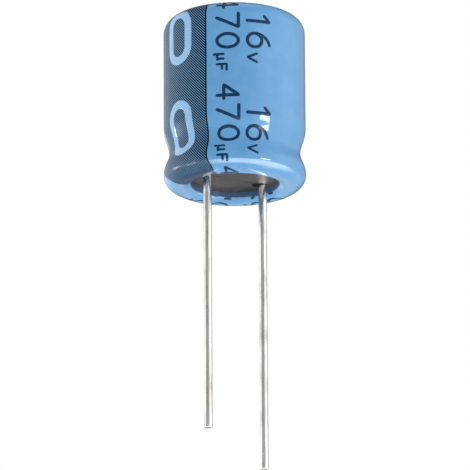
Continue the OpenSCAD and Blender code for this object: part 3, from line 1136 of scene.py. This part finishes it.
class CAPACITOR_OT_leads(Piece, bpy.types.Operator):
    """Draws the tinned leads, each cut a little aslant at its tip"""

    bl_idname = "capacitor.leads"
    bl_label = "Leads"

    def make(self, scene):
        body = scene.capacitor_body
        tin = material("tinned_wire", tin_look)
        for name, x in lead_axes().items():
            node = name.replace("lead", "wire")
            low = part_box(node)[0].z
            radius = MOUNTS[name]["dims"]["r_mm"] * MM
            curve = body.tip_round
            tip = [
                (radius - curve * (1 - math.cos(a)), low + curve * (1 - math.sin(a)))
                for a in evenly(math.pi / 2, 0.0, steps=8)
            ]
            shaft = [(radius, z) for z in evenly(low + curve, 0.0, steps=24)[1:]]
            weld = [(radius + body.weld_swell, body.weld_z), (0.0, body.weld_z)]
            lead = turned_profile(name, [(0.0, low)] + tip + shaft + weld, steps=64)
            for vertex in lead.data.vertices:
                cut = max(0.0, 1 - (vertex.co.z - low) / (4 * curve))
                vertex.co.z += body.tip_slant * cut * (vertex.co.x / radius + 1) / 2
            lead.data.transform(Matrix.Translation((x, 0.0, 0.0)))
            dress(lead, tin, "tinned_wire", node)


def repaint(node, made):
    """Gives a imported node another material, and leaves its shape alone."""
    target = frame["nodes"][node]
    if not target.material_slots:
        raise RuntimeError(f"{node} has no material slot")
    for slot in target.material_slots:
        slot.material = made


class CAPACITOR_OT_case(Piece, bpy.types.Operator):
    """Gives the drawn case its aluminium finish"""

    bl_idname = "capacitor.case"
    bl_label = "Case"

    def make(self, scene):
        drawn = material("drawn_aluminium", aluminium_look, "case", (1, 30, 1), 0.24)
        repaint("case", drawn)


class CAPACITOR_OT_winding(Piece, bpy.types.Operator):
    """Finishes the tabs, foils, papers and tape of the wound element"""

    bl_idname = "capacitor.winding"
    bl_label = "Wound element"

    def make(self, scene):
        pressed = material("pressed_aluminium", aluminium_look, "tab", (1, 1, 20), 0.3)
        paper = material("separator_paper", paper_look)
        looks = {
            "anode_tab": pressed,
            "cathode_tab": pressed,
            "anode_foil": material("anode_etched", etched_look, "anode"),
            "cathode_foil": material("cathode_etched", etched_look, "cathode"),
            "inner_paper": paper,
            "outer_paper": paper,
            "closing_tape": material("roll_tape", tape_look),
        }
        for node, look in looks.items():
            repaint(node, look)


class View:
    """Directions and places as the main camera sees them."""

    def __init__(self, studio):
        self.front = Vector((math.sin(studio.azimuth), -math.cos(studio.azimuth), 0.0))
        self.right = Vector((math.cos(studio.azimuth), math.sin(studio.azimuth), 0.0))

    def direction(self, turn, rise):
        """A direction to the camera's right by one angle and over the horizon by another."""
        level = self.front * math.cos(turn) + self.right * math.sin(turn)
        return level * math.cos(rise) + Vector((0.0, 0.0, math.sin(rise)))


class CAPACITOR_OT_stage(Piece, bpy.types.Operator):
    """Sets the floor, the camera, the lights and the world"""

    bl_idname = "capacitor.stage"
    bl_label = "Studio"

    def make(self, scene):
        studio = scene.capacitor_studio
        view = View(studio)
        self.make_floor(studio)
        self.make_camera(scene, studio, view)
        for name in LAMPS:
            lamp = self.make_lamp(studio, view, name)
            lamp.visible_glossy = name != "fill"
        self.make_world(scene, studio, view)
        scene.view_settings.view_transform = "Standard"

    def make_floor(self, studio):
        half = studio.floor_size / 2
        mesh = bpy.data.meshes.new("floor")
        corners = [(x, y, -studio.floor_drop) for x, y in ((-1, -1), (1, -1), (1, 1), (-1, 1))]
        mesh.from_pydata([(x * half, y * half, z) for x, y, z in corners], [], [(0, 1, 2, 3)])
        floor = add_object("floor", mesh)
        floor.data.materials.append(material("pale_floor", floor_look))
        floor.visible_glossy = False

    def make_camera(self, scene, studio, view):
        toward = view.direction(0.0, studio.elevation)
        up = (Vector((0.0, 0.0, 1.0)) - toward * toward.z).normalized()
        centre = (studio.image_px - 1) / 2
        pixel = MM / studio.scale
        aim = view.right * (centre - studio.origin_x) * pixel
        aim += up * (studio.origin_y - centre) * pixel
        data = bpy.data.cameras.new("camera")
        data.sensor_width = 36.0
        data.lens = data.sensor_width * studio.distance / (pixel * studio.image_px)
        data.clip_start = 0.01
        data.clip_end = 20.0
        camera = add_object("camera", data)
        camera.location = toward * studio.distance
        gaze = (aim - camera.location).to_track_quat("-Z", "Y")
        camera.rotation_mode = "QUATERNION"
        roll = Matrix.Rotation(studio.roll, 3, "Z").to_quaternion()
        camera.rotation_quaternion = gaze @ roll
        scene.camera = camera

    def make_lamp(self, studio, view, name):
        parts = ("turn", "rise", "power", "size")
        turn, rise, power, size = (getattr(studio, f"{name}_{part}") for part in parts)
        direction = view.direction(turn, rise)
        data = bpy.data.lights.new(name, "AREA")
        data.shape = "RECTANGLE"
        data.size, data.size_y = size
        data.energy = power
        lamp = add_object(name, data)
        lamp.location = direction * studio.lamp_distance
        lamp.rotation_mode = "QUATERNION"
        lamp.rotation_quaternion = direction.to_track_quat("Z", "Y")
        lamp.visible_camera = False
        return lamp

    def make_world(self, scene, studio, view):
        world = bpy.data.worlds.new("studio")
        world.use_nodes = True
        tree = world.node_tree
        tree.nodes.clear()
        builder = Builder(tree)
        rays = builder.node("ShaderNodeLightPath")
        direct = Signal(builder, rays.outputs["Is Camera Ray"])
        glossy = Signal(builder, rays.outputs["Is Glossy Ray"])
        through = Signal(builder, rays.outputs["Is Transmission Ray"])
        direction = builder.out("ShaderNodeTexCoord", output="Generated")

        def facing(side):
            """The cosine of the angle between the light's direction and another one."""
            sockets = {0: direction, 1: tuple(side)}
            return builder.out("ShaderNodeVectorMath", sockets, "Value", operation="DOT_PRODUCT")

        right = facing(view.right)
        behind = facing(-view.front).rise(-0.05, 0.7) * studio.behind_shade
        up = facing(Vector((0.0, 0.0, 1.0)))
        above = up.rise(0.3, 0.7) * studio.above_shade
        room = (studio.front_level + right.rise(0.15, 0.8) * studio.right_gain) * (1 - behind)
        room *= 1 - above
        room += up.rise(0.88, 0.97) * studio.top_gain
        left = facing(view.direction(studio.left_turn, 0.0))
        down = facing(Vector((0.0, 0.0, -1.0)))
        room += left.rise(0.45, 0.8) * (1 - down.rise(0.1, 0.4)) * studio.left_gain
        room += down.rise(0.1, 0.35) * studio.under_gain
        bounce = facing(view.direction(studio.bounce_turn, 0.0)).rise(-0.15, 0.6)
        bounce *= down.rise(0.3, 0.42) * (1 - down.rise(0.8, 0.97))
        room += bounce * studio.bounce_gain
        soft = studio.world + right.rise(0.0, 1.0) * studio.right_soft
        plain = direct.larger(through)
        level = plain + (1 - plain) * (glossy * room + (1 - glossy) * soft)
        white = (1.0, 1.0, 1.0, 1.0)
        background = builder.node("ShaderNodeBackground", {"Color": white, "Strength": level})
        output = builder.node("ShaderNodeOutputWorld")
        tree.links.new(background.outputs[0], output.inputs["Surface"])
        scene.world = world


OPERATORS = (
    CAPACITOR_OT_film,
    CAPACITOR_OT_band,
    CAPACITOR_OT_marks,
    CAPACITOR_OT_rating,
    CAPACITOR_OT_bung,
    CAPACITOR_OT_leads,
    CAPACITOR_OT_case,
    CAPACITOR_OT_winding,
    CAPACITOR_OT_stage,
)


class CAPACITOR_PT_sidebar(bpy.types.Panel):
    """Lists the capacitor's pieces and their sizes"""

    bl_idname = "CAPACITOR_PT_sidebar"
    bl_label = "Electrolytic capacitor"
    bl_space_type = "VIEW_3D"
    bl_region_type = "UI"
    bl_category = "Capacitor"

    def draw(self, context):
        layout = self.layout
        for operator in OPERATORS:
            layout.operator(operator.bl_idname)
        for name in GROUPS:
            group = getattr(context.scene, name)
            box = layout.box()
            for key in type(group).__annotations__:
                box.prop(group, key)


GROUPS = {
    "capacitor_body": CapacitorBody,
    "capacitor_print": CapacitorPrint,
    "capacitor_finish": CapacitorFinish,
    "capacitor_studio": CapacitorStudio,
}


def register():
    for kind in (*GROUPS.values(), *OPERATORS, CAPACITOR_PT_sidebar):
        bpy.utils.register_class(kind)
    for name, kind in GROUPS.items():
        setattr(bpy.types.Scene, name, PointerProperty(type=kind))


def unregister():
    for name in GROUPS:
        delattr(bpy.types.Scene, name)
    for kind in (CAPACITOR_PT_sidebar, *reversed(OPERATORS), *reversed(GROUPS.values())):
        bpy.utils.unregister_class(kind)


def main():
    register()
    for operator in OPERATORS:
        category, name = operator.bl_idname.split(".")
        getattr(getattr(bpy.ops, category), name)()


if __name__ == "__main__":
    main()
